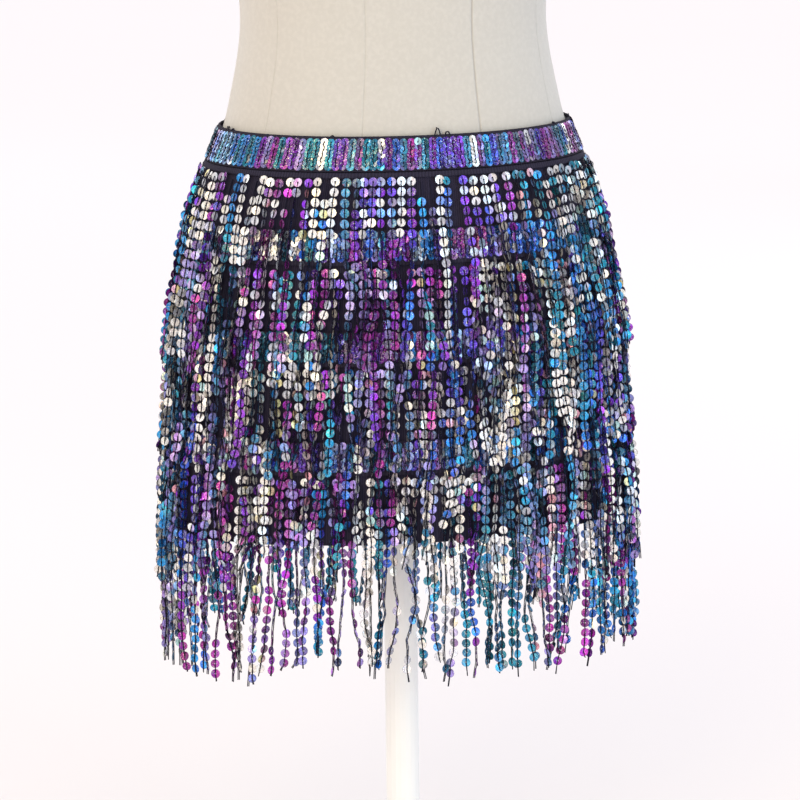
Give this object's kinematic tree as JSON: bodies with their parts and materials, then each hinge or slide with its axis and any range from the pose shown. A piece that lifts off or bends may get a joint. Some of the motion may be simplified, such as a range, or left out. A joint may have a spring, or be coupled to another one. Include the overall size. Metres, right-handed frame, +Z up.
{
  "type": "belly dance hip scarf on a dress form",
  "caption": "Short sequin-fringe hip scarf with an elastic waistband, a stretch lining and tiers of hanging strands, worn on a limbless dress form with a pole and round base.",
  "frame": {"origin": "centre of the round base's underside, on the floor", "axes": "+Z up along the pole; the front of the form and of the skirt faces -Y; +X is the form's left side"},
  "size_m": [0.38, 0.38, 1.1353],
  "materials": {
    "lining_knit": "matte black stretch knit",
    "band_sequins": "black elastic covered with small iridescent sequins",
    "fringe_sequins": "strands of iridescent purple, blue and silver sequins on black thread",
    "form_cover": "matte cream jersey stretched over a padded form",
    "cap_wood": "satin cream paint",
    "stand_paint": "white powder coat"
  },
  "bodies": {
    "root": {"lining": "lining_knit", "waistband": "band_sequins", "fringe_tier_1": "fringe_sequins", "fringe_tier_2": "fringe_sequins", "fringe_tier_3": "fringe_sequins", "fringe_tier_4": "fringe_sequins", "form_torso": "form_cover", "neck_cap": "cap_wood", "form_collar": "stand_paint", "stand_pole": "stand_paint", "pole_collar": "stand_paint", "stand_base": "stand_paint"}
  },
  "joints": []
}
